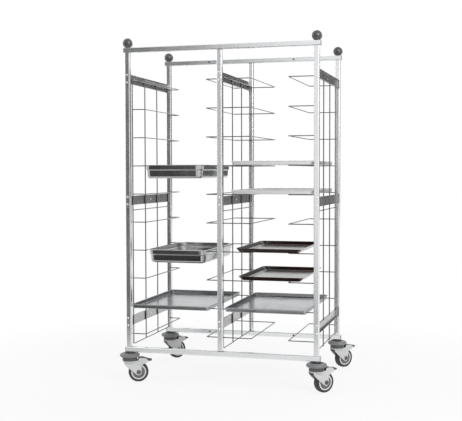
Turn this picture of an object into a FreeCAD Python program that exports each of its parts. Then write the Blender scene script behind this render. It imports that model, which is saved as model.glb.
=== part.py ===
import FreeCAD, Part
import math
import os
import Sketcher
from FreeCAD import Placement, Rotation, Vector

doc = FreeCAD.newDocument("tray_trolley")
sheet = doc.addObject("Spreadsheet::Sheet", "Sizes")


class Size:
    """A length that carries its value and the sheet expression it comes from."""

    def __init__(self, value, text):
        self.value = value
        self.text = text

    def __add__(self, other):
        other = size(other)
        return Size(self.value + other.value, f"({self.text} + {other.text})")

    def __sub__(self, other):
        other = size(other)
        return Size(self.value - other.value, f"({self.text} - {other.text})")

    def __mul__(self, other):
        other = size(other)
        return Size(self.value * other.value, f"({self.text} * {other.text})")

    def __truediv__(self, other):
        other = size(other)
        return Size(self.value / other.value, f"({self.text} / {other.text})")

    def __neg__(self):
        return Size(-self.value, f"(-1 * {self.text})")

    __radd__ = __add__
    __rmul__ = __mul__


def size(number):
    """A plain number becomes a size with that number as its expression."""
    return number if isinstance(number, Size) else Size(float(number), repr(float(number)))


rows = []


def cell(alias, value, note):
    """One driving dimension: its name, its value and what it measures."""
    row = len(rows) + 1
    rows.append(alias)
    sheet.set(f"A{row}", note)
    sheet.set(f"B{row}", str(value))
    sheet.setAlias(f"B{row}", alias)
    return Size(float(value), f"Sizes.{alias}")


# Frame of square steel tube
bay_pitch = cell("bay_pitch", 475, "post centre to post centre across one bay")
depth_pitch = cell("depth_pitch", 605, "front post centre to back post centre")
tube_width = cell("tube_width", 25, "square tube, across flats")
tube_wall = cell("tube_wall", 1.5, "square tube, wall")
tube_corner = cell("tube_corner", 3, "square tube, outer corner radius")
high_rail_height = cell("high_rail_height", 1655, "top rail axis above the floor")
rail_overhang = cell("rail_overhang", 5, "rail past the outer face of the end post")
end_cap_depth = cell("end_cap_depth", 3, "visible thickness of a rail end cap")
end_plug_depth = cell("end_plug_depth", 10, "length of a cap's plug inside the rail")
plug_clearance = cell("plug_clearance", 0.05, "gap round a cap's plug")
back_hole_diameter = cell("back_hole_diameter", 9, "hole at mid bay in the back rails")
bumper_ball_diameter = cell("bumper_ball_diameter", 50, "corner ball bumper")
ball_centre_lift = cell("ball_centre_lift", 22, "ball centre above the top rail")

# Cross beams of folded sheet between front and back posts
sheet_gauge = cell("sheet_gauge", 1.5, "beam sheet thickness")
beam_height = cell("beam_height", 46, "beam depth, top to bottom")
beam_mid_height = cell("beam_mid_height", 910, "middle beam centre above the floor")
beam_pitch = cell("beam_pitch", 605, "vertical distance between beams")
beam_flange = cell("beam_flange", 12, "beam flange width over the web")
beam_tab = cell("beam_tab", 14, "beam end tab width over the web")
beam_bend = cell("beam_bend", 4.5, "size of the bend into the end tab")
beam_hole_diameter = cell("beam_hole_diameter", 9, "hole at mid length of a beam")
side_web_inset = cell("side_web_inset", 3, "side web face, in from the post axis")
notch_depth = cell("notch_depth", 18, "notch for a rest arm in the top centre beam")
notch_width = cell("notch_width", 9, "width of that notch")

# Wire racks: upright wires, cross wires and tray rests
upright_wire = cell("upright_wire", 6, "upright wire, across flats")
rest_wire = cell("rest_wire", 5, "rest and cross wire, across flats")
upright_low_end = cell("upright_low_end", 183, "lower end of the uprights")
upright_high_end = cell("upright_high_end", 1515.5, "upper end of the uprights")
outer_upright_spread = cell("outer_upright_spread", 524, "outer uprights, centre to centre")
inner_upright_spread = cell("inner_upright_spread", 176, "inner uprights, centre to centre")
cross_high = cell("cross_high", 1513, "top cross wire height")
cross_middle = cell("cross_middle", 862, "middle cross wire height")
cross_low = cell("cross_low", 188, "bottom cross wire height")
first_rest_height = cell("first_rest_height", 1506, "axis height of the highest rest")
level_pitch = cell("level_pitch", 141, "height between rests")
left_rest_run = cell("left_rest_run", 402, "left rest rail, out from the centre")
right_rest_run = cell("right_rest_run", 330, "right rest rail, out from the centre")
loop_left_run = cell("loop_left_run", 83.7, "centre loop rail in the left bay")
loop_right_run = cell("loop_right_run", 143.2, "centre loop rail in the right bay")

# Swivel castors
wheel_diameter = cell("wheel_diameter", 100, "wheel over the tread")
tyre_width = cell("tyre_width", 32, "tyre width")
rim_diameter = cell("rim_diameter", 76, "rim under the tyre")
hub_width = cell("hub_width", 30, "wheel centre width")
axle_diameter = cell("axle_diameter", 22, "round axle bush")
axle_cap_depth = cell("axle_cap_depth", 3, "axle end outside the cheek")
running_clearance = cell("running_clearance", 0.05, "radial gap in a running bearing")
side_clearance = cell("side_clearance", 0.3, "gap beside a turning face")
guard_diameter = cell("guard_diameter", 60, "thread guard disc")
guard_depth = cell("guard_depth", 2, "thread guard thickness")
cheek_depth = cell("cheek_depth", 4, "fork cheek thickness")
cheek_end_radius = cell("cheek_end_radius", 15, "rounded end of a cheek at the axle")
trail = cell("trail", 43, "axle behind the swivel axis")
crown_clearance = cell("crown_clearance", 2.5, "crown above the tread")
race_diameter = cell("race_diameter", 74, "swivel housing")
race_depth = cell("race_depth", 17.5, "swivel housing height")
disc_diameter = cell("disc_diameter", 100, "round wall bumper above the housing")
disc_depth = cell("disc_depth", 22, "wall bumper height")
neck_diameter = cell("neck_diameter", 30, "neck between castor and rail")
neck_height = cell("neck_height", 5, "neck between the wall bumper and the rail")
stud_diameter = cell("stud_diameter", 12, "mounting stud into the rail")
stud_length = cell("stud_length", 20, "stud above the neck")
stud_clearance = cell("stud_clearance", 0.1, "radial gap round the stud")
crown_diameter = cell("crown_diameter", 72, "fork crown disc")
crown_depth = cell("crown_depth", 5.2, "fork crown thickness")
crown_back = cell("crown_back", -33, "fork's back edge from the swivel axis")
crown_front = cell("crown_front", 50, "open throat begins here, out from the swivel axis")
shoulder_rise = cell("shoulder_rise", 13.3, "highest part of the cheeks above the crown")
king_pin_diameter = cell("king_pin_diameter", 12, "swivel pin")
king_pin_length = cell("king_pin_length", 12, "swivel pin above the fork crown")
pedal_pivot_out = cell("pedal_pivot_out", 58, "pedal pivot out from the swivel axis")
pedal_pivot_lift = cell("pedal_pivot_lift", 1.5, "pedal pivot above the underside of the crown")
pedal_pin_diameter = cell("pedal_pin_diameter", 6, "pedal pivot pin")
pedal_reach = cell("pedal_reach", 110, "pedal tip out from the swivel axis")
pedal_rise = cell("pedal_rise", 2.5, "pedal above the fork's shoulder")
pedal_width = cell("pedal_width", 36, "pedal width")
turn_front_left = cell("turn_front_left", 26, "trail direction, from +X towards +Y")
turn_front_right = cell("turn_front_right", 48, "trail direction, from +X towards +Y")
turn_back_right = cell("turn_back_right", 48, "trail direction, from +X towards +Y")
turn_back_left = cell("turn_back_left", 50, "trail direction, from +X towards +Y")

# Trays and pans on the rests
load_gap = cell("load_gap", 0.3, "gap under a tray or a pan rim")
gn_width = cell("gn_width", 325, "full size food pan, over the rim")
gn_length = cell("gn_length", 530, "full size food pan, over the rim")
pan_rim_radius = cell("pan_rim_radius", 24, "corner radius of a pan rim")
pan_rim_depth = cell("pan_rim_depth", 1.6, "pan rim thickness")
pan_body_width = cell("pan_body_width", 303, "pan body under the rim")
pan_body_length = cell("pan_body_length", 507, "pan body under the rim")
pan_depth = cell("pan_depth", 65, "pan depth below the rim")
pan_wall = cell("pan_wall", 1.2, "pan wall and floor")
pan_shoulder = cell("pan_shoulder", 15, "stacking shoulder below the rim")
pan_step = cell("pan_step", 2.5, "wall step at the shoulder")
pan_draw = cell("pan_draw", 6, "how far a wall leans in below the shoulder")
tray_height = cell("tray_height", 20, "tray height")
tray_wall = cell("tray_wall", 1.5, "tray wall and floor")
tray_lean = cell("tray_lean", 17, "how far an enamelled tray's wall leans in")
tray_corner = cell("tray_corner", 24, "rim corner radius of an enamelled tray")
sheet_tray_width = cell("sheet_tray_width", 400, "baking sheet tray over the rim")
sheet_tray_length = cell("sheet_tray_length", 600, "baking sheet tray over the rim")
sheet_tray_corner = cell("sheet_tray_corner", 12, "rim corner radius")
sheet_rim_width = cell("sheet_rim_width", 4, "rolled rim outside the wall")
sheet_rim_height = cell("sheet_rim_height", 5, "rolled rim height")
pan_pull = cell("pan_pull", 45, "upper pan pulled forward")
sheet_tray_pull = cell("sheet_tray_pull", 62, "low sheet trays forward of centre")
sheet_tray_push = cell("sheet_tray_push", 5, "high sheet trays back of centre")
high_sheet_centre = cell("high_sheet_centre", 250, "high sheet trays out from the centre")
upper_brown_pull = cell("upper_brown_pull", 40, "upper enamelled tray forward of centre")
lower_brown_push = cell("lower_brown_push", 3, "lower enamelled tray back of centre")

doc.recompute()

# Derived planes and distances
half_tube = tube_width / 2
half_depth = depth_pitch / 2
wheel_centre = wheel_diameter / 2
crown_low = wheel_diameter + crown_clearance
crown_top = crown_low + crown_depth
race_low = crown_top + side_clearance
disc_low = race_low + race_depth
disc_top = disc_low + disc_depth
rail_underside = disc_top + neck_height
low_rail_height = rail_underside + half_tube
post_low = low_rail_height + half_tube
post_high = high_rail_height - half_tube
rail_half_length = bay_pitch + half_tube + rail_overhang
rail_top = high_rail_height + half_tube
inner_post_face = half_depth - half_tube
side_web = bay_pitch - side_web_inset
side_upright = side_web - upright_wire / 2
side_upright_face = side_web - upright_wire
beam_heights = {
    "bottom": beam_mid_height - beam_pitch,
    "middle": beam_mid_height,
    "top": beam_mid_height + beam_pitch,
}
outer_upright = outer_upright_spread / 2
inner_upright = inner_upright_spread / 2
loop_arm = outer_upright - upright_wire / 2 - rest_wire / 2
levels = 10
left_load_centre = (left_rest_run + loop_left_run) / -2
right_load_centre = (right_rest_run + loop_right_run) / 2
guard_inner = tyre_width / 2 + side_clearance
cheek_inner = guard_inner + guard_depth
cheek_outer = cheek_inner + cheek_depth
fork_shoulder = crown_top + shoulder_rise
pedal_pivot_height = crown_low + pedal_pivot_lift

wheel_sides = 32
housing_sides = 28
axle_sides = 16
pin_sides = 12

nodes = {}


def rest_height(level):
    """Axis height of the rests of a level, counted from the top."""
    return first_rest_height - level_pitch * (level - 1)


def bind(target, name, value):
    """Tie a property to its sheet expression."""
    target.setExpression(name, size(value).text)


def locate(target, x=0.0, y=0.0, z=0.0, turn=None):
    """Place an object, turned about the vertical if asked."""
    x = size(x)
    y = size(y)
    z = size(z)
    angle = turn.value if turn else 0.0
    target.Placement = Placement(Vector(x.value, y.value, z.value), Rotation(Vector(0, 0, 1), angle))
    bind(target, "Placement.Base.x", x)
    bind(target, "Placement.Base.y", y)
    bind(target, "Placement.Base.z", z)
    if turn:
        bind(target, "Placement.Rotation.Angle", turn)
    return target


def new_body(label):
    """A body with its own label."""
    body = doc.addObject("PartDesign::Body", "body_" + label)
    body.Label = label
    return body


def new_sketch(body, role, offset=0.0):
    """An empty sketch on one of the body's own origin planes."""
    plane = [item for item in body.Origin.OriginFeatures if item.Role == role][0]
    offset = size(offset)
    sketch = body.newObject("Sketcher::SketchObject", "sketch")
    sketch.AttachmentSupport = [(plane, "")]
    sketch.MapMode = "FlatFace"
    sketch.AttachmentOffset = Placement(Vector(0, 0, offset.value), Rotation())
    bind(sketch, "AttachmentOffset.Base.z", offset)
    return sketch


def dimension(sketch, rules):
    """Add (constraint, value) pairs in one step and tie each dimension to its sheet expression."""
    numbers = sketch.addConstraint([rule for rule, value in rules])
    for number, (rule, value) in zip(numbers, rules):
        if value is not None:
            sketch.setExpression(f"Constraints[{number}]", value.text)


def pinned(geometry, point, x, y):
    """Distances of a point from the sketch's origin."""
    across = Sketcher.Constraint("DistanceX", -1, 1, geometry, point, x.value)
    up = Sketcher.Constraint("DistanceY", -1, 1, geometry, point, y.value)
    return [(across, x), (up, y)]


def add_outline(sketch, corners):
    """A closed outline of sharp corners (x, y) and rounded ones (centre x, centre y, radius, turn).

    The turn is 1 where the outline bends to the left and -1 where it bends to the right.
    """
    items = []
    for corner in corners:
        x, y, *round_part = corner
        radius = size(round_part[0]) if round_part else None
        turn = round_part[1] if round_part else 0
        items.append((size(x), size(y), radius, turn))
    count = len(items)
    lines = []
    ends = []
    for index in range(count):
        x1, y1, radius1, turn1 = items[index]
        x2, y2, radius2, turn2 = items[(index + 1) % count]
        side1 = radius1.value * turn1 if radius1 else 0.0
        side2 = radius2.value * turn2 if radius2 else 0.0
        dx = x2.value - x1.value
        dy = y2.value - y1.value
        heading = math.atan2(dy, dx) - math.asin((side2 - side1) / math.hypot(dx, dy))
        normal = Vector(-math.sin(heading), math.cos(heading), 0)
        start = Vector(x1.value, y1.value, 0) - normal * side1
        end = Vector(x2.value, y2.value, 0) - normal * side2
        ends.append((start, end))
        lines.append(sketch.addGeometry(Part.LineSegment(start, end)))
    rules = []
    for index in range(count):
        x, y, radius, turn = items[index]
        before = lines[index - 1]
        after = lines[index]
        if radius is None:
            rules.append((Sketcher.Constraint("Coincident", before, 2, after, 1), None))
            rules += pinned(after, 1, x, y)
            continue
        centre = Vector(x.value, y.value, 0)
        arrive = ends[index - 1][1] - centre
        leave = ends[index][0] - centre
        first, last = (arrive, leave) if turn > 0 else (leave, arrive)
        first_angle = math.atan2(first.y, first.x)
        last_angle = math.atan2(last.y, last.x)
        circle = Part.Circle(centre, Vector(0, 0, 1), radius.value)
        arc = sketch.addGeometry(Part.ArcOfCircle(circle, first_angle, last_angle))
        arrive_end, leave_end = (1, 2) if turn > 0 else (2, 1)
        rules.append((Sketcher.Constraint("Tangent", before, 2, arc, arrive_end), None))
        rules.append((Sketcher.Constraint("Tangent", arc, leave_end, after, 1), None))
        rules += pinned(arc, 3, x, y)
        rules.append((Sketcher.Constraint("Radius", arc, radius.value), radius))
    dimension(sketch, rules)


def add_circle(sketch, x, y, diameter):
    """A dimensioned circle."""
    x = size(x)
    y = size(y)
    circle = Part.Circle(Vector(x.value, y.value, 0), Vector(0, 0, 1), diameter.value / 2)
    geometry = sketch.addGeometry(circle)
    across = Sketcher.Constraint("Diameter", geometry, diameter.value)
    dimension(sketch, pinned(geometry, 3, x, y) + [(across, diameter)])


def rectangle(low_x, low_y, high_x, high_y):
    """Corners of a plain rectangle."""
    return [(low_x, low_y), (high_x, low_y), (high_x, high_y), (low_x, high_y)]


def arc_points(x, y, radius, start, end, chords):
    """Points of an arc drawn with a few chords, angles in degrees."""
    points = []
    for step in range(chords + 1):
        angle = math.radians(start + (end - start) * step / chords)
        points.append((size(x) + radius * math.cos(angle), size(y) + radius * math.sin(angle)))
    return points


def many_sided(x, y, diameter, sides):
    """Corners of a regular many-sided outline whose corners lie on a circle."""
    return arc_points(x, y, size(diameter) / 2, 0, 360 - 360 / sides, sides - 1)


def round_the(diameter, clearance, sides):
    """Diameter over the corners of a many-sided bore that clears a shaft all round."""
    return (size(diameter) + clearance * 2) / math.cos(math.pi / sides)


def rounded(width, length, radius, chords=2):
    """Corners of a rectangle round the origin, each corner eased by a few chords."""
    across = size(width) / 2 - radius
    along = size(length) / 2 - radius
    corners = arc_points(across, -along, radius, -90, 0, chords)
    corners += arc_points(across, along, radius, 0, 90, chords)
    corners += arc_points(-across, along, radius, 90, 180, chords)
    corners += arc_points(-across, -along, radius, 180, 270, chords)
    return corners


def octagon(x, y, across):
    """Eight corners round a point, measured across the flats."""
    reach = across / 2
    flat = reach * math.tan(math.pi / 8)
    ring = [
        (reach, -flat), (reach, flat), (flat, reach), (-flat, reach),
        (-reach, flat), (-reach, -flat), (-flat, -reach), (flat, -reach),
    ]
    return [(size(x) + u, size(y) + v) for u, v in ring]


def outline(body, role, corners, offset=0.0):
    """A sketch with one closed outline."""
    sketch = new_sketch(body, role, offset)
    add_outline(sketch, corners)
    return sketch


def pad(body, sketch, length, symmetric=False, taper=None):
    """Add material along the sketch's normal."""
    feature = body.newObject("PartDesign::Pad", "pad")
    feature.Profile = sketch
    bind(feature, "Length", length)
    if symmetric:
        feature.SideType = "Symmetric"
    if taper:
        bind(feature, "TaperAngle", taper)
    return feature


def pocket(body, sketch, length, symmetric=False, taper=None):
    """Cut material against the sketch's normal."""
    feature = body.newObject("PartDesign::Pocket", "pocket")
    feature.Profile = sketch
    bind(feature, "Length", length)
    if symmetric:
        feature.SideType = "Symmetric"
    if taper:
        bind(feature, "TaperAngle", taper)
    return feature


def group(label, members):
    """Several loose pieces of one kind, kept as one sub-part."""
    compound = doc.addObject("Part::Compound", "group_" + label)
    compound.Label = label
    compound.Links = members
    nodes[label] = compound
    return compound


def tube_sketch(body, role, offset):
    """Square tube section: eased outside, sharp inside."""
    sketch = outline(body, role, rounded(tube_width, tube_width, tube_corner), offset)
    inside = half_tube - tube_wall
    add_outline(sketch, rectangle(-inside, -inside, inside, inside))
    return sketch


def rail(label, y, height, back, low):
    """A lengthwise rail; back rails are drilled at mid bay, bottom rails take the castor studs."""
    body = new_body(label)
    pad(body, tube_sketch(body, "YZ_Plane", 0.0), rail_half_length * 2, symmetric=True)
    if back:
        holes = new_sketch(body, "XZ_Plane", half_tube - tube_wall - 0.5)
        for place in (-bay_pitch / 2, bay_pitch / 2):
            if low:
                add_outline(holes, octagon(place, 0.0, back_hole_diameter))
            else:
                add_circle(holes, place, 0.0, back_hole_diameter)
        cut = pocket(body, holes, tube_wall + 1.0)
        cut.Reversed = True
    if low:
        studs = new_sketch(body, "XY_Plane", -half_tube - 0.5)
        bore = stud_diameter + stud_clearance * 2
        add_outline(studs, octagon(bay_pitch, 0.0, bore))
        add_outline(studs, octagon(-bay_pitch, 0.0, bore))
        cut = pocket(body, studs, tube_wall + 1.0)
        cut.Reversed = True
    locate(body, 0.0, y, height)
    nodes[label] = body


def post(label, x, y):
    """An upright between the bottom and top rails."""
    body = new_body(label)
    pad(body, tube_sketch(body, "XY_Plane", 0.0), post_high - post_low)
    locate(body, x, y, post_low)
    nodes[label] = body


def end_caps():
    """Moulded caps that close the open rail ends."""
    members = []
    plug = half_tube - tube_wall - plug_clearance
    for side in (-1, 1):
        for y in (-half_depth, half_depth):
            for height in (low_rail_height, high_rail_height):
                body = new_body(f"end_cap_{len(members) + 1}")
                face = rectangle(-half_tube, -half_tube, half_tube, half_tube)
                pad(body, outline(body, "YZ_Plane", face), end_cap_depth)
                insert = rectangle(-plug, -plug, plug, plug)
                inward = pad(body, outline(body, "YZ_Plane", insert), end_plug_depth)
                inward.Reversed = True
                locate(body, rail_half_length * side, y, height)
                if side < 0:
                    body.Placement.Rotation = Rotation(Vector(0, 0, 1), 180)
                members.append(body)
    group("rail_end_caps", members)


def ball_shape():
    """A ball of flat panels, cut flat at the height where it sits on a rail."""
    radius = bumper_ball_diameter.value / 2
    lift = ball_centre_lift.value
    low = math.degrees(math.asin(lift / radius))
    around = 14
    bands = 6
    rings = []
    for band in range(bands):
        angle = math.radians(-low + (90 + low) * band / bands)
        out = radius * math.cos(angle)
        up = lift + radius * math.sin(angle)
        turns = [2 * math.pi * k / around for k in range(around)]
        rings.append([Vector(out * math.cos(turn), out * math.sin(turn), up) for turn in turns])
    crown = Vector(0, 0, lift + radius)
    faces = [Part.Face(Part.makePolygon(rings[0] + rings[0][:1]))]
    for lower, upper in zip(rings, rings[1:]):
        for k in range(around):
            n = (k + 1) % around
            corners = [lower[k], lower[n], upper[n], upper[k], lower[k]]
            faces.append(Part.Face(Part.makePolygon(corners)))
    for k in range(around):
        n = (k + 1) % around
        faces.append(Part.Face(Part.makePolygon([rings[-1][k], rings[-1][n], crown, rings[-1][k]])))
    solid = Part.Solid(Part.Shell(faces))
    if solid.Volume < 0:
        solid.reverse()
    return solid


def ball_bumpers():
    """Round corner bumpers that sit on the ends of the top rails."""
    balls = []
    for x in (-bay_pitch.value, bay_pitch.value):
        for y in (-half_depth.value, half_depth.value):
            ball = ball_shape()
            ball.translate(Vector(x, y, rail_top.value))
            balls.append(ball)
    feature = doc.addObject("Part::Feature", "balls")
    feature.Label = "ball_bumpers"
    feature.Shape = Part.makeCompound(balls)
    feature.Placement = Placement()
    nodes["ball_bumpers"] = feature


def beam(label, place, height, side):
    """Folded sheet beam: a web with flanges, bent at both ends into tabs against the posts.

    The side is -1 or 1 for the outer beams, whose flanges point outward, and 0 for the centre
    beam, whose flanges point to the left bay. Local +X points away from the racked face.
    """
    body = new_body(label)
    end = inner_post_face
    bend = beam_bend
    gauge = sheet_gauge
    ease = gauge * math.tan(math.pi / 8)
    plan = [
        (beam_tab, -end),
        (beam_tab, gauge - end),
        (bend + ease, gauge - end),
        (gauge, bend - end + ease),
        (gauge, end - bend - ease),
        (bend + ease, end - gauge),
        (beam_tab, end - gauge),
        (beam_tab, end),
        (bend, end),
        (0.0, end - bend),
        (0.0, bend - end),
        (bend, -end),
    ]
    pad(body, outline(body, "XY_Plane", plan), beam_height, symmetric=True)
    flange_end = end - bend - gauge
    edge = beam_height / 2
    flange = rectangle(gauge / 2, -flange_end, beam_flange, flange_end)
    pad(body, outline(body, "XY_Plane", flange, edge - gauge), gauge)
    pad(body, outline(body, "XY_Plane", flange, -edge), gauge)
    hole = outline(body, "YZ_Plane", octagon(0.0, 0.0, beam_hole_diameter), -0.5)
    cut = pocket(body, hole, gauge + 1.0)
    cut.Reversed = True
    if side == 0 and height == "top":
        half = notch_width / 2
        for arm in (-loop_arm, loop_arm):
            notch = rectangle(arm - half, -edge - 1.0, arm + half, notch_depth - edge)
            slot = pocket(body, outline(body, "YZ_Plane", notch, -0.5), beam_flange + 2.0)
            slot.Reversed = True
    locate(body, place, 0.0, beam_heights[height])
    if side <= 0:
        body.Placement.Rotation = Rotation(Vector(0, 0, 1), 180)
    nodes[label] = body


def section(point, across, heading, mitre):
    """Eight corners of a wire's section at a point, on its mitre plane."""
    reach = across / 2
    flat = reach * math.tan(math.pi / 8)
    side = Vector(0, 0, 1).cross(heading)
    ring = [
        (reach, -flat), (reach, flat), (flat, reach), (-flat, reach),
        (-reach, flat), (-reach, -flat), (-flat, -reach), (flat, -reach),
    ]
    corners = []
    for u, v in ring:
        offset = side * u + Vector(0, 0, 1) * v
        shift = -offset.dot(mitre) / heading.dot(mitre)
        corners.append(point + offset + heading * shift)
    return corners


def bent_wire(points, across, closed=False):
    """A level wire of eight-sided section that is mitred where it turns."""
    count = len(points)
    runs = count if closed else count - 1
    headings = [(points[(i + 1) % count] - points[i]).normalize() for i in range(runs)]
    rings = []
    for index, point in enumerate(points):
        after = headings[index % runs]
        before = headings[index - 1]
        if not closed and index == 0:
            rings.append(section(point, across, after, after))
        elif not closed and index == count - 1:
            rings.append(section(point, across, before, before))
        else:
            rings.append(section(point, across, before, before + after))
    faces = []
    for index in range(runs):
        near = rings[index]
        far = rings[(index + 1) % count]
        for k in range(8):
            n = (k + 1) % 8
            corners = [near[k], near[n], far[n], far[k], near[k]]
            faces.append(Part.Face(Part.makePolygon(corners)))
    if not closed:
        faces.append(Part.Face(Part.makePolygon(rings[0] + rings[0][:1])))
        faces.append(Part.Face(Part.makePolygon(rings[-1] + rings[-1][:1])))
    solid = Part.Solid(Part.Shell(faces))
    if solid.Volume < 0:
        solid.reverse()
    return solid


def upright(x, y):
    """A straight upright wire of eight-sided section."""
    reach = upright_wire.value / 2
    flat = reach * math.tan(math.pi / 8)
    ring = [
        (reach, -flat), (reach, flat), (flat, reach), (-flat, reach),
        (-reach, flat), (-reach, -flat), (-flat, -reach), (flat, -reach), (reach, -flat),
    ]
    low = upright_low_end.value
    loop = Part.makePolygon([Vector(x + u, y + v, low) for u, v in ring])
    return Part.Face(loop).extrude(Vector(0, 0, upright_high_end.value - low))


def rack(label, upright_x, cross_x, rests):
    """Four uprights, three cross wires and ten tray rests, welded flat to flat."""
    solids = []
    for spread in (outer_upright.value, inner_upright.value):
        solids.append(upright(upright_x, -spread))
        solids.append(upright(upright_x, spread))
    end = outer_upright.value + upright_wire.value / 2
    for height in (cross_high.value, cross_middle.value, cross_low.value):
        points = [Vector(cross_x, -end, height), Vector(cross_x, end, height)]
        solids.append(bent_wire(points, rest_wire.value))
    for level in range(1, levels + 1):
        solids.append(rests(rest_height(level).value))
    feature = doc.addObject("Part::Feature", "rack")
    feature.Label = label
    feature.Shape = Part.makeCompound(solids)
    feature.Placement = Placement()
    nodes[label] = feature


def side_rack(label, side, run):
    """A side rack: open rests whose two arms butt against the outer uprights."""
    arm = outer_upright.value
    root = side_upright_face.value * side
    reach = run.value * side

    def rests(height):
        points = [
            Vector(root, -arm, height),
            Vector(reach, -arm, height),
            Vector(reach, arm, height),
            Vector(root, arm, height),
        ]
        return bent_wire(points, rest_wire.value)

    cross_x = (side_upright_face - rest_wire / 2).value * side
    rack(label, side_upright.value * side, cross_x, rests)


def centre_rack():
    """The centre rack: closed loops that reach into both bays, beside the outer uprights."""
    arm = loop_arm.value

    def rests(height):
        points = [
            Vector(-loop_left_run.value, -arm, height),
            Vector(loop_right_run.value, -arm, height),
            Vector(loop_right_run.value, arm, height),
            Vector(-loop_left_run.value, arm, height),
        ]
        return bent_wire(points, rest_wire.value, closed=True)

    upright_x = upright_wire.value / 2
    rack("rack_centre", upright_x, upright_wire.value + rest_wire.value / 2, rests)


def castor_race():
    """Swivel housing of a castor, with a blind bore for the swivel pin."""
    body = new_body("castor_race")
    housing = many_sided(0.0, 0.0, race_diameter, housing_sides)
    pad(body, outline(body, "XY_Plane", housing, race_low), race_depth)
    bore = round_the(king_pin_diameter, running_clearance, pin_sides)
    mouth = outline(body, "XY_Plane", many_sided(0.0, 0.0, bore, pin_sides), race_low - 1.0)
    cut = pocket(body, mouth, king_pin_length + 2.0)
    cut.Reversed = True
    return body


def castor_stem():
    """Neck above the wall bumper, with a stud that enters the rail."""
    body = new_body("castor_stem")
    neck = many_sided(0.0, 0.0, neck_diameter, axle_sides)
    pad(body, outline(body, "XY_Plane", neck, disc_top), rail_underside - disc_top)
    stud = outline(body, "XY_Plane", octagon(0.0, 0.0, stud_diameter), rail_underside)
    pad(body, stud, stud_length)
    return body


def castor_disc():
    """Round wall bumper that sits on the swivel housing."""
    body = new_body("castor_disc")
    disc = many_sided(0.0, 0.0, disc_diameter, wheel_sides)
    pad(body, outline(body, "XY_Plane", disc, disc_low), disc_depth)
    return body


def fork(label):
    """Moulded fork: two swept cheeks under a crown, the swivel pin and the pedal's cross pin."""
    body = new_body(label)
    nose = pedal_reach - 18.0
    cheeks = [
        (crown_back, crown_top),
        (crown_back + 3.0, crown_top - 13.0),
        (crown_back + 19.0, crown_top - 32.0),
        *arc_points(trail, wheel_centre, cheek_end_radius, 227, 360, 5),
        (trail + 14.0, wheel_centre + 17.0),
        (trail + 13.5, wheel_centre + 28.0),
        (trail + 19.0, wheel_centre + 36.0),
        (trail + 33.0, wheel_centre + 45.0),
        (nose, crown_low - 1.5),
        (nose + 1.5, crown_low + 4.0),
        (nose - 11.0, fork_shoulder - 8.0),
        (nose - 28.0, fork_shoulder - 2.0),
        (nose - 40.0, fork_shoulder),
        (crown_front - 5.0, fork_shoulder),
        (crown_front - 10.0, crown_top),
    ]
    pad(body, outline(body, "XZ_Plane", cheeks), cheek_outer * 2, symmetric=True)
    crown = many_sided(0.0, 0.0, crown_diameter, housing_sides)
    pad(body, outline(body, "XY_Plane", crown, crown_low), crown_top - crown_low)
    slot = [
        (-60.0, 0.0),
        (120.0, 0.0),
        (120.0, fork_shoulder + 10.0),
        (crown_front, fork_shoulder + 10.0),
        (crown_front, crown_low),
        (-60.0, crown_low),
    ]
    pocket(body, outline(body, "XZ_Plane", slot), cheek_inner * 2, symmetric=True)
    over_housing = [
        (-60.0, crown_top),
        (crown_front, crown_top),
        (crown_front, fork_shoulder + 10.0),
        (-60.0, fork_shoulder + 10.0),
    ]
    pocket(body, outline(body, "XZ_Plane", over_housing), cheek_inner * 2, symmetric=True)
    hole = many_sided(trail, wheel_centre, axle_diameter, axle_sides)
    pocket(body, outline(body, "XZ_Plane", hole), cheek_outer * 2 + 10.0, symmetric=True)
    cross_pin = many_sided(pedal_pivot_out, pedal_pivot_height, pedal_pin_diameter, pin_sides)
    pad(body, outline(body, "XZ_Plane", cross_pin), cheek_inner * 2, symmetric=True)
    pin = many_sided(0.0, 0.0, king_pin_diameter, pin_sides)
    pad(body, outline(body, "XY_Plane", pin, crown_top), king_pin_length)
    return body


def brake_pedal(label):
    """Foot pedal between the cheeks, bored for the fork's cross pin."""
    body = new_body(label)
    x = pedal_pivot_out
    z = pedal_pivot_height
    tip = pedal_reach
    top = fork_shoulder + pedal_rise
    lever = [
        (x - 7.0, top - 1.0),
        (x - 6.5, z - 1.0),
        (x - 3.0, z - 4.5),
        (x + 3.0, z - 4.5),
        (x + 5.0, z),
        (x + 8.0, top - 11.0),
        (x + 22.0, top - 14.0),
        (tip - 15.0, top - 20.0),
        (tip - 2.0, top - 16.5),
        (tip, top - 10.5),
        (tip - 3.0, top - 9.0),
        (tip - 10.0, top - 12.0),
        (tip - 28.0, top - 6.0),
        (x + 6.0, top),
    ]
    pad(body, outline(body, "XZ_Plane", lever), pedal_width, symmetric=True)
    bore = round_the(pedal_pin_diameter, running_clearance, pin_sides)
    hole = outline(body, "XZ_Plane", many_sided(x, z, bore, pin_sides))
    pocket(body, hole, pedal_width + 10.0, symmetric=True)
    return body


def axle(label):
    """Plain axle bush that stands a little out of both cheeks."""
    body = new_body(label)
    bush = outline(body, "XZ_Plane", many_sided(trail, wheel_centre, axle_diameter, axle_sides))
    pad(body, bush, (cheek_outer + axle_cap_depth) * 2, symmetric=True)
    return body


def thread_guards(label):
    """Two discs that keep threads out of the bearing, one inside each cheek."""
    body = new_body(label)
    disc = many_sided(trail, wheel_centre, guard_diameter, 20)
    for place in (guard_inner, -cheek_inner):
        sketch = outline(body, "XZ_Plane", disc, place)
        add_outline(sketch, many_sided(trail, wheel_centre, axle_diameter, axle_sides))
        pad(body, sketch, guard_depth)
    return body


def wheel_rim(label):
    """Moulded wheel centre, bored for the axle."""
    body = new_body(label)
    bore = round_the(axle_diameter, running_clearance, axle_sides)
    sketch = outline(body, "XZ_Plane", many_sided(trail, wheel_centre, rim_diameter, wheel_sides))
    add_outline(sketch, many_sided(trail, wheel_centre, bore, axle_sides))
    pad(body, sketch, hub_width, symmetric=True)
    return body


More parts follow.
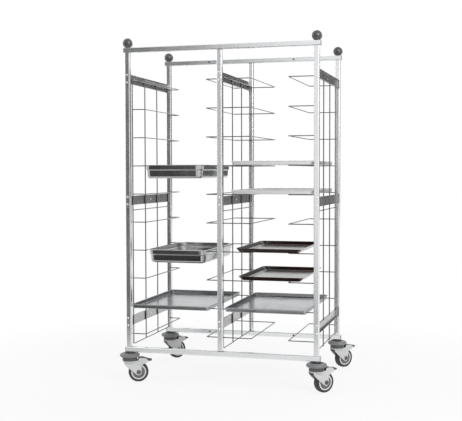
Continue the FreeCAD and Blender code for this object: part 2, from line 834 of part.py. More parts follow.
def tyre(label):
    """Tyre moulded round the wheel centre."""
    body = new_body(label)
    sketch = outline(body, "XZ_Plane", many_sided(trail, wheel_centre, wheel_diameter, wheel_sides))
    add_outline(sketch, many_sided(trail, wheel_centre, rim_diameter, wheel_sides))
    pad(body, sketch, tyre_width, symmetric=True)
    return body


def castors():
    """Four swivel castors with foot brakes, each turned its own way."""
    corners = {
        "front_left": (-bay_pitch, -half_depth, turn_front_left),
        "front_right": (bay_pitch, -half_depth, turn_front_right),
        "back_left": (-bay_pitch, half_depth, turn_back_left),
        "back_right": (bay_pitch, half_depth, turn_back_right),
    }
    makers = {
        "fork": fork,
        "brake_pedal": brake_pedal,
        "axle": axle,
        "thread_guards": thread_guards,
        "rim": wheel_rim,
        "tyre": tyre,
    }
    races = []
    stems = []
    discs = []
    for corner, (x, y, turn) in corners.items():
        races.append(locate(castor_race(), x, y))
        stems.append(locate(castor_stem(), x, y))
        discs.append(locate(castor_disc(), x, y))
        for piece, make in makers.items():
            label = f"{piece}_{corner}"
            nodes[label] = locate(make(label), x, y, 0.0, turn)
    group("castor_races", races)
    group("castor_stems", stems)
    group("castor_bumpers", discs)


def loft(body, first, second, subtract=False):
    """Straight walls between two outlines of the same form."""
    kind = "PartDesign::SubtractiveLoft" if subtract else "PartDesign::AdditiveLoft"
    feature = body.newObject(kind, "loft")
    feature.Profile = first
    feature.Sections = [second]
    feature.Ruled = True
    return feature


def food_pan(label, y, level):
    """Deep pan with a flat rim, a stacking shoulder and sloped walls, rim underside at z 0."""
    body = new_body(label)
    wall = pan_wall
    corner = pan_rim_radius - (gn_width - pan_body_width) / 2
    width = pan_body_width
    length = pan_body_length
    narrow = width - pan_step * 2
    short = length - pan_step * 2
    foot = narrow - pan_draw * 2
    foot_length = short - pan_draw * 2
    step = corner - pan_step
    foot_corner = step - 1.0
    pad(body, outline(body, "XY_Plane", rounded(gn_width, gn_length, pan_rim_radius)), pan_rim_depth)
    upper = pad(body, outline(body, "XY_Plane", rounded(width, length, corner)), pan_shoulder)
    upper.Reversed = True
    loft(
        body,
        outline(body, "XY_Plane", rounded(narrow, short, step), -pan_shoulder),
        outline(body, "XY_Plane", rounded(foot, foot_length, foot_corner), -pan_depth),
    )
    opening = rounded(width - wall * 2, length - wall * 2, corner - wall)
    pocket(body, outline(body, "XY_Plane", opening, pan_rim_depth), pan_rim_depth + pan_shoulder - wall)
    upper_well = rounded(narrow - wall * 2, short - wall * 2, step - wall)
    lower_well = rounded(foot - wall * 2, foot_length - wall * 2, foot_corner - wall)
    loft(
        body,
        outline(body, "XY_Plane", upper_well, wall - pan_shoulder),
        outline(body, "XY_Plane", lower_well, wall - pan_depth),
        subtract=True,
    )
    locate(body, left_load_centre, y, rest_height(level) + rest_wire / 2 + load_gap)
    nodes[label] = body


def sheet_tray(label, x, y, level):
    """Flat baking sheet tray with straight low walls and a rolled rim."""
    body = new_body(label)
    wall_width = sheet_tray_width - sheet_rim_width * 2
    wall_length = sheet_tray_length - sheet_rim_width * 2
    wall_corner = sheet_tray_corner - sheet_rim_width
    pad(body, outline(body, "XY_Plane", rounded(wall_width, wall_length, wall_corner)), tray_height)
    rim = rounded(sheet_tray_width, sheet_tray_length, sheet_tray_corner)
    pad(body, outline(body, "XY_Plane", rim, tray_height - sheet_rim_height), sheet_rim_height)
    inside = rounded(wall_width - tray_wall * 2, wall_length - tray_wall * 2, wall_corner - tray_wall)
    pocket(body, outline(body, "XY_Plane", inside, tray_height), tray_height - tray_wall)
    locate(body, x, y, rest_height(level) + rest_wire / 2 + load_gap)
    nodes[label] = body


def brown_tray(label, y, level):
    """Shallow enamelled tray with sloped walls."""
    body = new_body(label)
    foot = gn_width - tray_lean * 2
    foot_length = gn_length - tray_lean * 2
    foot_corner = tray_corner - tray_lean / 2
    edge = tray_wall * 1.5
    loft(
        body,
        outline(body, "XY_Plane", rounded(gn_width, gn_length, tray_corner), tray_height),
        outline(body, "XY_Plane", rounded(foot, foot_length, foot_corner)),
    )
    mouth = rounded(gn_width - edge * 2, gn_length - edge * 2, tray_corner - edge)
    floor = rounded(foot - tray_wall * 2, foot_length - tray_wall * 2, foot_corner - tray_wall)
    loft(
        body,
        outline(body, "XY_Plane", mouth, tray_height),
        outline(body, "XY_Plane", floor, tray_wall),
        subtract=True,
    )
    locate(body, right_load_centre, y, rest_height(level) + rest_wire / 2 + load_gap)
    nodes[label] = body


rail("bottom_rail_front", -half_depth, low_rail_height, back=False, low=True)
rail("bottom_rail_back", half_depth, low_rail_height, back=True, low=True)
rail("top_rail_front", -half_depth, high_rail_height, back=False, low=False)
rail("top_rail_back", half_depth, high_rail_height, back=True, low=False)
for column, post_x in (("left", -bay_pitch), ("centre", size(0)), ("right", bay_pitch)):
    post(f"post_front_{column}", post_x, -half_depth)
    post(f"post_back_{column}", post_x, half_depth)
end_caps()
ball_bumpers()
for storey in beam_heights:
    beam(f"beam_left_{storey}", -side_web, storey, -1)
    beam(f"beam_centre_{storey}", size(0), storey, 0)
    beam(f"beam_right_{storey}", side_web, storey, 1)
side_rack("rack_left", -1, left_rest_run)
centre_rack()
side_rack("rack_right", 1, right_rest_run)
castors()
food_pan("pan_upper", -pan_pull, 4)
food_pan("pan_lower", size(0), 7)
sheet_tray("sheet_tray_left_low", left_load_centre, -sheet_tray_pull, 9)
sheet_tray("sheet_tray_right_low", right_load_centre, -sheet_tray_pull, 9)
sheet_tray("sheet_tray_right_upper", high_sheet_centre, sheet_tray_push, 4)
sheet_tray("sheet_tray_right_middle", high_sheet_centre, sheet_tray_push, 5)
brown_tray("brown_tray_upper", -upper_brown_pull, 7)
brown_tray("brown_tray_lower", lower_brown_push, 8)

doc.recompute()

for item in doc.Objects:
    if "Invalid" in item.State or "Error" in item.State:
        raise RuntimeError(f"{item.Label} ({item.Name}) failed: {item.State}")
for label, item in nodes.items():
    if item.Shape.isNull() or not item.Shape.isValid():
        raise RuntimeError(f"{label} has no valid shape")

os.makedirs("parts", exist_ok=True)
for label, item in nodes.items():
    item.Shape.exportStep(f"parts/{label}.step")
    box = item.Shape.BoundBox
    spans = f"{box.XLength:.1f} x {box.YLength:.1f} x {box.ZLength:.1f} mm from z {box.ZMin:.1f}"
    print(f"{label}: {len(item.Shape.Solids)} solids, {item.Shape.Volume / 1000:.1f} cm3, {spans}")
print(f"{len(nodes)} sub-parts")
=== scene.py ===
"""Looks of an open tray trolley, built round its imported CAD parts.

Sizes are in millimetres and become metres when a mesh is finished. +X runs to the right bay, -Y to
the open front and +Z up; the origin is on the floor under the middle of the tube frame.
"""

import math

import bmesh
import bpy
from mathutils import Matrix, Vector


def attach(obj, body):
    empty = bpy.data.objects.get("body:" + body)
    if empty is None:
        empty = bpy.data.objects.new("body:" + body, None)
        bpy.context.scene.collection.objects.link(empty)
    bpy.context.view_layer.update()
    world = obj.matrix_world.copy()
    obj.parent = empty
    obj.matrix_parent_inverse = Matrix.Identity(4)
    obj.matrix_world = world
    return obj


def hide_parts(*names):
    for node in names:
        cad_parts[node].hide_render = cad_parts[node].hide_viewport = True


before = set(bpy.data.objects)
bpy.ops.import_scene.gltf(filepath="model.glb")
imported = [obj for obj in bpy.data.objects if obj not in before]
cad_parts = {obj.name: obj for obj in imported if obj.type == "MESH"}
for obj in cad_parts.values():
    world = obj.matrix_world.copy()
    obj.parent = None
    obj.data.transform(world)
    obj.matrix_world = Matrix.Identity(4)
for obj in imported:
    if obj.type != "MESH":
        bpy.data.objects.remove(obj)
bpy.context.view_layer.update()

MM = 0.001
SMOOTH_BELOW = math.radians(38)
CORNER_CHORDS = 6
DISH_CHORDS = 8
WIRE_SIDES = 12
STEEL_BUMP = 0.012

# Tube frame
POST_X = 475.0
POST_Y = 302.5
TUBE = 25.0
RAIL_TOP = 1667.5
RAIL_HEIGHTS = (165.0, 1655.0)
RAIL_OVERHANG = 5.0
LOW_RAIL_TOP = 177.5
# Height of the painted shadow bands where the centre posts meet the rails.
SHADOW_BAND_HEIGHT = 1.8
BALL_RADIUS = 25.0
BALL_LIFT = 22.0
CAP_DEPTH = 3.0
CAP_PLUG = 9.9
CAP_PLUG_DEPTH = 9.0

# Beams and their screws
BEAM_HEIGHTS = (305.0, 910.0, 1515.0)
SCREW_SPREAD = 18.5
SCREW_COLUMNS = (-477.0, -3.0, 477.0)
SCREW_RADIUS = 5.0
SCREW_HEIGHT = 2.2

# Wire racks
UPRIGHT_WIRE = 6.0
REST_WIRE = 5.0
UPRIGHT_LOW, UPRIGHT_HIGH = 186.0, 1515.5
UPRIGHT_PLACES = (-262.0, -88.0, 88.0, 262.0)
CROSS_HEIGHTS = (188.0, 862.0, 1513.0)
CROSS_REACH = 265.0
SIDE_UPRIGHT_X = 469.0
SIDE_CROSS_X = 463.5
SIDE_REST_ROOT = 466.0
LEFT_REST_RUN = 402.0
RIGHT_REST_RUN = 330.0
CENTRE_UPRIGHT_X = 3.0
CENTRE_CROSS_X = 8.5
LOOP_LEFT, LOOP_RIGHT = 83.7, 143.2
LOOP_ARM = 256.5
WIRE_BEND = 6.0
LEVELS = 10
FIRST_REST = 1506.0
LEVEL_PITCH = 141.0

# Castors
TRAIL = 43.0
WHEEL_CENTRE = 50.0
CROWN_LOW, CROWN_TOP = 102.5, 107.7
CHEEK_INNER, CHEEK_OUTER = 18.3, 22.3
PEDAL_PIVOT = (58.0, 104.0)
PEDAL_PIN_RADIUS = 3.0
PEDAL_HALF_WIDTH = 18.0
KING_PIN_RADIUS = 6.0
KING_PIN_LENGTH = 12.0
CASTOR_TURNS = {
    "front_left": (-POST_X, -POST_Y, 26.0),
    "front_right": (POST_X, -POST_Y, 48.0),
    "back_left": (-POST_X, POST_Y, 50.0),
    "back_right": (POST_X, POST_Y, 48.0),
}

# Trays and pans
PAN_SIZE = (325.0, 530.0)
PAN_CORNER = 24.0
PAN_WALL_CORNER = 46.0
PAN_DEPTH = 65.0
PAN_RIM = 1.6
PAN_SHOULDER = 23.0
PAN_WALL = 1.2
SHEET_SIZE = (400.0, 600.0)
SHEET_CORNER = 12.0
LEFT_LOAD_X = -(LEFT_REST_RUN + LOOP_LEFT) / 2
RIGHT_LOAD_X = (RIGHT_REST_RUN + LOOP_RIGHT) / 2
HIGH_SHEET_X = 250.0
LOAD_GAP = 0.3
LOAD_LIFT = REST_WIRE / 2 + LOAD_GAP

X_AXIS = Vector((1, 0, 0))
Z_AXIS = Vector((0, 0, 1))


def rest_height(level):
    """Axis height of the rests of a level, counted from the top."""
    return FIRST_REST - LEVEL_PITCH * (level - 1)


# Materials

def new_material(name):
    """An empty material with its shader, its node tree and a coordinate source."""
    finish = bpy.data.materials.new(name)
    finish.use_nodes = True
    tree = finish.node_tree
    shader = tree.nodes["Principled BSDF"]
    coordinates = tree.nodes.new("ShaderNodeTexCoord")
    return finish, tree, shader, coordinates


def stretched_noise(tree, coordinates, scale, detail):
    """Noise in object coordinates; unequal scales draw it out along the smallest one."""
    mapping = tree.nodes.new("ShaderNodeMapping")
    mapping.inputs["Scale"].default_value = scale
    tree.links.new(coordinates.outputs["Object"], mapping.inputs["Vector"])
    noise = tree.nodes.new("ShaderNodeTexNoise")
    noise.inputs["Scale"].default_value = 1.0
    noise.inputs["Detail"].default_value = detail
    noise.inputs["Roughness"].default_value = 0.55
    tree.links.new(mapping.outputs["Vector"], noise.inputs["Vector"])
    return noise.outputs["Fac"]


def ramp(tree, source, stops):
    """Colour ramp between two (place, colour) stops."""
    node = tree.nodes.new("ShaderNodeValToRGB")
    for index, (place, colour) in enumerate(stops):
        node.color_ramp.elements[index].position = place
        node.color_ramp.elements[index].color = (*colour, 1)
    tree.links.new(source, node.inputs["Fac"])
    return node.outputs["Color"]


def span(tree, source, low, high):
    """Map 0.3..0.7 of a noise onto a range of values."""
    node = tree.nodes.new("ShaderNodeMapRange")
    node.inputs["From Min"].default_value = 0.3
    node.inputs["From Max"].default_value = 0.7
    node.inputs["To Min"].default_value = low
    node.inputs["To Max"].default_value = high
    tree.links.new(source, node.inputs["Value"])
    return node.outputs["Result"]


def add_bump(tree, shader, source, strength, distance):
    """Bump the shader by a source; the distance is in mm."""
    node = tree.nodes.new("ShaderNodeBump")
    node.inputs["Strength"].default_value = strength
    node.inputs["Distance"].default_value = distance * MM
    tree.links.new(source, node.inputs["Height"])
    tree.links.new(node.outputs["Normal"], shader.inputs["Normal"])


def metal(name, dark, light, rough, grain, cloud=(9, 9, 9)):
    """Metal with a fine grain drawn out along one axis and faint cloudy wear."""
    finish, tree, shader, coordinates = new_material(name)
    lines = stretched_noise(tree, coordinates, grain, 6.0)
    clouds = stretched_noise(tree, coordinates, cloud, 3.0)
    mix = tree.nodes.new("ShaderNodeMix")
    mix.inputs["Factor"].default_value = 0.45
    tree.links.new(lines, mix.inputs["A"])
    tree.links.new(clouds, mix.inputs["B"])
    colour = ramp(tree, mix.outputs["Result"], [(0.34, dark), (0.64, light)])
    tree.links.new(colour, shader.inputs["Base Color"])
    tree.links.new(span(tree, clouds, rough[0], rough[1]), shader.inputs["Roughness"])
    shader.inputs["Metallic"].default_value = 1.0
    add_bump(tree, shader, lines, STEEL_BUMP, 0.05)
    return finish


def moulded(name, dark, light, rough, bump=0.25, coat=0.0):
    """Moulded plastic or rubber with a fine surface texture and faint mottling."""
    finish, tree, shader, coordinates = new_material(name)
    blotches = stretched_noise(tree, coordinates, (14, 14, 14), 5.0)
    pebbles = stretched_noise(tree, coordinates, (900, 900, 900), 2.0)
    colour = ramp(tree, blotches, [(0.3, dark), (0.7, light)])
    tree.links.new(colour, shader.inputs["Base Color"])
    tree.links.new(span(tree, pebbles, rough[0], rough[1]), shader.inputs["Roughness"])
    shader.inputs["Coat Weight"].default_value = coat
    shader.inputs["Coat Roughness"].default_value = 0.12
    add_bump(tree, shader, pebbles, bump, 0.04)
    return finish


def enamel(name):
    """Dark brown enamel: glossy, faintly uneven and speckled."""
    finish, tree, shader, coordinates = new_material(name)
    flow = stretched_noise(tree, coordinates, (22, 22, 22), 4.0)
    specks = tree.nodes.new("ShaderNodeTexVoronoi")
    specks.inputs["Scale"].default_value = 420
    tree.links.new(coordinates.outputs["Object"], specks.inputs["Vector"])
    brown = ramp(tree, flow, [(0.3, (0.014, 0.005, 0.004)), (0.7, (0.030, 0.009, 0.006))])
    stops = [(0.05, (0.05, 0.020, 0.013)), (0.12, (0.0, 0.0, 0.0))]
    speck = ramp(tree, specks.outputs["Distance"], stops)
    add = tree.nodes.new("ShaderNodeMix")
    add.data_type = "RGBA"
    add.blend_type = "ADD"
    add.inputs["Factor"].default_value = 0.15
    tree.links.new(brown, add.inputs["A"])
    tree.links.new(speck, add.inputs["B"])
    tree.links.new(add.outputs["Result"], shader.inputs["Base Color"])
    tree.links.new(span(tree, flow, 0.14, 0.20), shader.inputs["Roughness"])
    shader.inputs["Coat Weight"].default_value = 0.2
    shader.inputs["Coat Roughness"].default_value = 0.1
    add_bump(tree, shader, flow, 0.06, 0.3)
    return finish


ALONG_X = (6, 900, 900)
ALONG_Y = (900, 6, 900)
ALONG_Z = (900, 900, 6)

post_steel = metal("post_steel", (0.76, 0.77, 0.78), (0.84, 0.85, 0.86), (0.24, 0.29), ALONG_Z)
rail_steel = metal("rail_steel", (0.78, 0.79, 0.80), (0.86, 0.87, 0.88), (0.24, 0.29), ALONG_X)
# The beams are the same steel as the posts, made darker as painted shade.
beam_steel = metal("beam_steel", (0.36, 0.36, 0.364), (0.44, 0.44, 0.444), (0.20, 0.27), ALONG_Y)
wire_steel = metal(
    "wire_steel", (0.12, 0.12, 0.124), (0.22, 0.22, 0.226), (0.18, 0.28), (90, 90, 90),
)
screw_steel = metal(
    "screw_steel", (0.80, 0.80, 0.80), (0.92, 0.92, 0.92), (0.14, 0.22), (300, 300, 300),
)
# Steel far darker than bare steel: the castor necks carry the painted shade of the gap under the
# rail.
stem_steel_painted_shade = metal(
    "stem_steel_painted_shade", (0.10, 0.10, 0.104), (0.16, 0.16, 0.165), (0.34, 0.44), (300, 300, 300),
)
pan_steel = metal(
    "pan_steel", (0.44, 0.44, 0.445), (0.52, 0.52, 0.525), (0.10, 0.16), ALONG_Y, (16, 16, 16),
)
tray_steel = metal(
    "tray_steel", (0.34, 0.35, 0.36), (0.44, 0.45, 0.46), (0.20, 0.28), (500, 30, 500),
    (12, 12, 12),
)
bright_sheet = metal(
    "bright_sheet", (0.78, 0.78, 0.785), (0.86, 0.86, 0.865), (0.26, 0.34), (500, 30, 500),
)
ball_plastic = moulded(
    "ball_plastic", (0.045, 0.045, 0.048), (0.070, 0.070, 0.075), (0.26, 0.36), coat=0.7,
)
cap_plastic = moulded("cap_plastic", (0.48, 0.485, 0.49), (0.56, 0.565, 0.57), (0.36, 0.48))
disc_plastic = moulded("disc_plastic", (0.20, 0.203, 0.21), (0.27, 0.274, 0.28), (0.34, 0.46))
# Near-black: black plastic for the fork liners, painted shade for the castor top rings and the post
# joint bands.
black_plastic_and_painted_shade = moulded("black_plastic_and_painted_shade", (0.012, 0.012, 0.013), (0.022, 0.022, 0.023), (0.45, 0.60))
race_plastic = moulded("race_plastic", (0.085, 0.087, 0.09), (0.125, 0.127, 0.13), (0.40, 0.55))
fork_plastic = moulded("fork_plastic", (0.68, 0.683, 0.69), (0.76, 0.763, 0.77), (0.34, 0.46))
pedal_plastic = moulded("pedal_plastic", (0.030, 0.031, 0.033), (0.055, 0.056, 0.059), (0.36, 0.50))
axle_plastic = moulded("axle_plastic", (0.10, 0.102, 0.105), (0.15, 0.152, 0.156), (0.36, 0.50))
guard_plastic = moulded("guard_plastic", (0.13, 0.132, 0.138), (0.20, 0.203, 0.21), (0.32, 0.44))
rim_plastic = moulded("rim_plastic", (0.84, 0.84, 0.835), (0.90, 0.90, 0.895), (0.30, 0.42))
tyre_rubber = moulded(
    "tyre_rubber", (0.026, 0.026, 0.028), (0.045, 0.045, 0.048), (0.50, 0.66), bump=0.5,
)
brown_enamel = enamel("brown_enamel")


# Mesh building

def finish_piece(name, mesh, body, finish, hides=()):
    """Turn a mesh in millimetres into a piece that rides on a body and may stand for CAD nodes."""
    bmesh.ops.recalc_face_normals(mesh, faces=mesh.faces)
    data = bpy.data.meshes.new(name)
    mesh.to_mesh(data)
    mesh.free()
    data.transform(Matrix.Scale(MM, 4))
    data.shade_smooth()
    data.set_sharp_from_angle(angle=SMOOTH_BELOW)
    data.materials.append(finish)
    obj = bpy.data.objects.new(name, data)
    bpy.context.collection.objects.link(obj)
    flatter = obj.modifiers.new("flat_faces", "WEIGHTED_NORMAL")
    flatter.keep_sharp = True
    flatter.weight = 90
    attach(obj, body)
    if hides:
        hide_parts(*hides)


def filleted(corners, closed=True):
    """Points along straight runs whose corners (point, radius) are rounded."""
    path = []
    count = len(corners)
    for index, (corner, radius) in enumerate(corners):
        if radius <= 0 or (not closed and index in (0, count - 1)):
            path.append(corner.copy())
            continue
        before = (corners[index - 1][0] - corner).normalized()
        after = (corners[(index + 1) % count][0] - corner).normalized()
        half = before.angle(after) / 2
        centre = corner + (before + after).normalized() * (radius / math.sin(half))
        start = corner + before * (radius / math.tan(half)) - centre
        end = corner + after * (radius / math.tan(half)) - centre
        sweep = math.pi - 2 * half
        for step in range(CORNER_CHORDS + 1):
            part = step / CORNER_CHORDS
            weight = math.sin(sweep)
            first = math.sin(sweep * (1 - part)) / weight
            last = math.sin(sweep * part) / weight
            path.append(centre + start * first + end * last)
    return path


def bridge(mesh, rings, closed=False):
    """Quads between rings of vertices, each ring closed on itself."""
    pairs = list(zip(rings, rings[1:]))
    if closed:
        pairs.append((rings[-1], rings[0]))
    for first, second in pairs:
        count = len(first)
        for index in range(count):
            after = (index + 1) % count
            mesh.faces.new((first[index], first[after], second[after], second[index]))


def add_wire(mesh, corners, diameter, flat_normal, closed=False):
    """Round wire through corners that lie in one plane, with bent corners and eased ends."""
    radius = diameter / 2
    path = filleted([(Vector(corner), WIRE_BEND) for corner in corners], closed)
    if not closed:
        first = (path[1] - path[0]).normalized()
        last = (path[-1] - path[-2]).normalized()
        ease = radius * 0.3
        path = [path[0], path[0] + first * ease, *path[1:-1], path[-1] - last * ease, path[-1]]
    rings = []
    count = len(path)
    for index, point in enumerate(path):
        if closed:
            heading = (path[(index + 1) % count] - path[index - 1]).normalized()
        else:
            heading = (path[min(index + 1, count - 1)] - path[max(index - 1, 0)]).normalized()
        side = heading.cross(flat_normal)
        tip = not closed and index in (0, count - 1)
        reach = radius * (0.7 if tip else 1.0)
        ring = []
        for step in range(WIRE_SIDES):
            angle = 2 * math.pi * step / WIRE_SIDES
            offset = flat_normal * math.cos(angle) + side * math.sin(angle)
            ring.append(mesh.verts.new(point + offset * reach))
        rings.append(ring)
    bridge(mesh, rings, closed)
    if not closed:
        mesh.faces.new(rings[0])
        mesh.faces.new(rings[-1])


def add_weld(mesh, centre, across, along):
    """Small lump where two wires are welded."""
    rings = []
    for band in range(1, 4):
        height = math.pi * band / 4 - math.pi / 2
        ring = []
        for step in range(10):
            angle = 2 * math.pi * step / 10
            flat = math.cos(height)
            x = across * flat * math.cos(angle)
            y = along * flat * math.sin(angle)
            place = Vector((x, y, across * math.sin(height)))
            ring.append(mesh.verts.new(Vector(centre) + place))
        rings.append(ring)
    bridge(mesh, rings)
    mesh.faces.new(rings[0])
    mesh.faces.new(rings[-1])


def add_lathe(mesh, profile, place, sides=56, closed=False):
    """Turn (radius, height) points about the local Z axis of a placing matrix."""
    rings = []
    for radius, height in profile:
        if radius == 0:
            rings.append([mesh.verts.new(place @ Vector((0, 0, height)))])
            continue
        ring = []
        for step in range(sides):
            angle = 2 * math.pi * step / sides
            point = Vector((radius * math.cos(angle), radius * math.sin(angle), height))
            ring.append(mesh.verts.new(place @ point))
        rings.append(ring)
    pairs = list(zip(rings, rings[1:]))
    if closed:
        pairs.append((rings[-1], rings[0]))
    for first, second in pairs:
        for index in range(sides):
            after = (index + 1) % sides
            if len(first) == 1:
                mesh.faces.new((first[0], second[after], second[index]))
            elif len(second) == 1:
                mesh.faces.new((first[index], first[after], second[0]))
            else:
                mesh.faces.new((first[index], first[after], second[after], second[index]))


def add_slab(mesh, outline, low, high, place, ease, steps=3):
    """Flat plate from an outline of ((x, y), radius) corners, with rounded edges."""
    flat = filleted([(Vector((x, y, 0)), radius) for (x, y), radius in outline])
    count = len(flat)
    area = 0.0
    for index, point in enumerate(flat):
        after = flat[(index + 1) % count]
        area += point.x * after.y - after.x * point.y
    inward = 1.0 if area > 0 else -1.0
    normals = []
    for index in range(count):
        before = (flat[index] - flat[index - 1]).normalized()
        after = (flat[(index + 1) % count] - flat[index]).normalized()
        both = (before + after).normalized()
        reach = 1 / max(0.5, both.dot(after))
        normals.append(Vector((-both.y, both.x, 0)) * (inward * reach))
    levels = []
    for step in range(steps + 1):
        angle = math.pi / 2 * step / steps
        levels.append((ease * (1 - math.sin(angle)), low + ease * (1 - math.cos(angle))))
    levels += [(inset, low + high - height) for inset, height in reversed(levels)]
    rings = []
    for inset, height in levels:
        ring = []
        for point, normal in zip(flat, normals):
            spot = point + normal * inset
            ring.append(mesh.verts.new(place @ Vector((spot.x, spot.y, height))))
        rings.append(ring)
    bridge(mesh, rings)
    mesh.faces.new(rings[0])
    mesh.faces.new(rings[-1])


def add_dish(mesh, width, length, corner, profile, place, wall_corner=None):
    """Pressed sheet: (inset, height) steps round a rectangle with rounded corners."""
    rings = []
    for inset, height in profile:
        radius = max(corner - inset * 0.5, 3.0)
        if wall_corner and inset > 10:
            radius = wall_corner - inset
        across = width / 2 - inset - radius
        along = length / 2 - inset - radius
        ring = []
        for quarter, (sx, sy) in enumerate(((1, 1), (-1, 1), (-1, -1), (1, -1))):
            for step in range(DISH_CHORDS + 1):
                angle = math.pi / 2 * (quarter + step / DISH_CHORDS)
                x = sx * across + radius * math.cos(angle)
                y = sy * along + radius * math.sin(angle)
                ring.append(mesh.verts.new(place @ Vector((x, y, height))))
        rings.append(ring)
    bridge(mesh, rings)
    mesh.faces.new(rings[0])
    mesh.faces.new(rings[-1])


def square_outline(half, radius):
    """Outline of a square with rounded corners, for a slab."""
    corners = ((-half, -half), (half, -half), (half, half), (-half, half))
    return [(corner, radius) for corner in corners]


# Tube frame

def ease_edges(obj, width):
    """Soften the sharp folds of a carried-over CAD node."""
    weld = obj.modifiers.new("weld", "WELD")
    weld.merge_threshold = 0.01 * MM
    bevel = obj.modifiers.new("bevel", "BEVEL")
    bevel.width = width * MM
    bevel.segments = 2
    bevel.limit_method = "ANGLE"
    bevel.angle_limit = math.radians(50)
    bevel.harden_normals = True


def dress_frame():
    """Steel finishes and eased edges for the tubes and beams."""
    for name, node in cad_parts.items():
        if name.startswith("post_"):
            finish = post_steel
        elif name.startswith(("top_rail", "bottom_rail")):
            finish = rail_steel
        elif name.startswith("beam_"):
            # Darker than the post steel: painted shade.
            finish = beam_steel
        else:
            continue
        node.data.materials.clear()
        node.data.materials.append(finish)
        ease_edges(node, 0.5 if name.startswith("beam_") else 0.3)


def ball_bumpers():
    """Round corner bumpers with a fine parting line."""
    mesh = bmesh.new()
    low = -math.asin(BALL_LIFT / BALL_RADIUS)
    profile = [(0.0, 0.0)]
    bands = 22
    for band in range(bands):
        angle = low + (math.pi / 2 - low) * band / bands
        line = 0.25 * math.exp(-((angle * BALL_RADIUS) / 0.9) ** 2)
        radius = BALL_RADIUS - line
        profile.append((radius * math.cos(angle), BALL_LIFT + radius * math.sin(angle)))
    profile.append((0.0, BALL_LIFT + BALL_RADIUS))
    for x in (-POST_X, POST_X):
        for y in (-POST_Y, POST_Y):
            add_lathe(mesh, profile, Matrix.Translation((x, y, RAIL_TOP)), 40)
    finish_piece("corner_balls", mesh, "frame", ball_plastic, ["ball_bumpers"])


def end_caps():
    """Moulded caps in the open ends of the rails."""
    mesh = bmesh.new()
    half = TUBE / 2
    square = square_outline(half, 2.6)
    plug = square_outline(CAP_PLUG, 1.0)
    end = POST_X + half + RAIL_OVERHANG
    for side in (-1, 1):
        turn = Matrix.Rotation(math.radians(90 * side), 4, "Y")
        for y in (-POST_Y, POST_Y):
            for z in RAIL_HEIGHTS:
                place = Matrix.Translation((end * side, y, z)) @ turn
                add_slab(mesh, square, 0.0, CAP_DEPTH, place, 0.9)
                add_slab(mesh, plug, -CAP_PLUG_DEPTH, 0.2, place, 0.4)
    finish_piece("rail_caps", mesh, "frame", cap_plastic, ["rail_end_caps"])


def painted_joint_shadows():
    """Painted shade: thin near-black bands where the centre posts meet the rails, standing in for
    the shadow gap at each joint.
    """
    mesh = bmesh.new()
    square = square_outline(TUBE / 2 + 0.15, 3.0)
    for y in (-POST_Y, POST_Y):
        for low in (LOW_RAIL_TOP, RAIL_TOP - TUBE - SHADOW_BAND_HEIGHT):
            add_slab(mesh, square, 0.0, SHADOW_BAND_HEIGHT, Matrix.Translation((0, y, low)), 0.1, 1)
    finish_piece("post_painted_shadow_bands", mesh, "frame", black_plastic_and_painted_shade)


def screws():
    """Domed screws with a round recess, two where a beam tab meets a post."""
    mesh = bmesh.new()
    dome = [(0.0, SCREW_HEIGHT - 1.1), (2.0, SCREW_HEIGHT - 1.1), (2.0, SCREW_HEIGHT)]
    dome += [(3.2, SCREW_HEIGHT - 0.1), (4.4, SCREW_HEIGHT - 0.8)]
    dome += [(SCREW_RADIUS, 0.35), (SCREW_RADIUS, 0.0)]
    for x in SCREW_COLUMNS:
        for side in (-1, 1):
            for centre in BEAM_HEIGHTS:
                for lift in (-SCREW_SPREAD, SCREW_SPREAD):
                    turn = Matrix.Rotation(math.radians(90 * -side), 4, "X")
                    face = (POST_Y + TUBE / 2) * side
                    place = Matrix.Translation((x, face, centre + lift)) @ turn
                    add_lathe(mesh, dome, place, 18)
    finish_piece("beam_screws", mesh, "frame", screw_steel)


# Wire racks

def rack_grid(mesh, upright_x, cross_x):
    """Uprights with their cross wires and the welds between them."""
    for y in UPRIGHT_PLACES:
        ends = [(upright_x, y, UPRIGHT_LOW), (upright_x, y, UPRIGHT_HIGH)]
        add_wire(mesh, ends, UPRIGHT_WIRE, X_AXIS)
    for z in CROSS_HEIGHTS:
        ends = [(cross_x, -CROSS_REACH, z), (cross_x, CROSS_REACH, z)]
        add_wire(mesh, ends, REST_WIRE, Z_AXIS)
        for y in UPRIGHT_PLACES:
            add_weld(mesh, ((upright_x + cross_x) / 2, y, z), 2.2, 2.8)


def side_rack(name, side, run):
    """A side rack whose open rests reach into one bay."""
    mesh = bmesh.new()
    rack_grid(mesh, SIDE_UPRIGHT_X * side, SIDE_CROSS_X * side)
    arm = UPRIGHT_PLACES[-1]
    root = (SIDE_REST_ROOT + 1.5) * side
    reach = run * side
    for level in range(1, LEVELS + 1):
        z = rest_height(level)
        rest = [(root, -arm, z), (reach, -arm, z), (reach, arm, z), (root, arm, z)]
        add_wire(mesh, rest, REST_WIRE, Z_AXIS)
        for y in (-arm, arm):
            add_weld(mesh, (SIDE_REST_ROOT * side, y, z), 2.8, 3.2)
    finish_piece(f"{name}_wires", mesh, "frame", wire_steel, [name])


